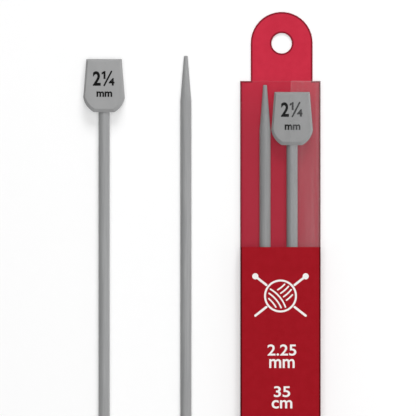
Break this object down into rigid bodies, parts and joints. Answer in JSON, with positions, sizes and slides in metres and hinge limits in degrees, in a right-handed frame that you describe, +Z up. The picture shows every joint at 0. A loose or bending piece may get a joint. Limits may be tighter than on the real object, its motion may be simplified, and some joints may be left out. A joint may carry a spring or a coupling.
{
  "type": "straight knitting needles",
  "caption": "Straight single-pointed knitting needles with shield-shaped stoppers: a loose pair beside a pair in its hanging pocket pack, which the needles slide out of.",
  "frame": {"origin": "middle of the set's length and width, on the surface it lies on", "axes": "+Y along the needles towards the hang tab, +X across them from the loose pair to the pack, +Z up from the surface"},
  "size_m": [0.0476, 0.367, 0.0047],
  "materials": {
    "coated_aluminium": "satin",
    "head_plastic": "satin",
    "card_print": "satin",
    "sleeve_print": "satin",
    "clear_film": "gloss",
    "lap_film": "gloss",
    "black_ink": "matte",
    "white_ink": "satin"
  },
  "bodies": {
    "pack": {"back_card": "card_print", "sleeve_front_panel": "sleeve_print", "sleeve_left_wall": "sleeve_print", "sleeve_right_wall": "sleeve_print", "sleeve_end_flap": "sleeve_print", "window_film": "clear_film", "film_lap": "lap_film"},
    "left_loose_needle": {"left_loose_needle_shaft": "coated_aluminium", "left_loose_needle_head": "head_plastic"},
    "right_loose_needle": {"right_loose_needle_shaft": "coated_aluminium", "right_loose_needle_head": "head_plastic"},
    "left_packed_needle": {"left_packed_needle_shaft": "coated_aluminium", "left_packed_needle_head": "head_plastic"},
    "right_packed_needle": {"right_packed_needle_shaft": "coated_aluminium", "right_packed_needle_head": "head_plastic"}
  },
  "joints": [
    {"name": "left_loose_lift", "type": "slide", "parent": "pack", "child": "left_loose_needle", "axis": [0, 0, 1], "range_m": [0, 0.1]},
    {"name": "right_loose_lift", "type": "slide", "parent": "pack", "child": "right_loose_needle", "axis": [0, 0, 1], "range_m": [0, 0.1]},
    {"name": "left_packed_slide", "type": "slide", "parent": "pack", "child": "left_packed_needle", "axis": [0, 1, 0], "range_m": [-0.0018, 0.35]},
    {"name": "right_packed_slide", "type": "slide", "parent": "pack", "child": "right_packed_needle", "axis": [0, 1, 0], "range_m": [-0.0004, 0.35]}
  ]
}
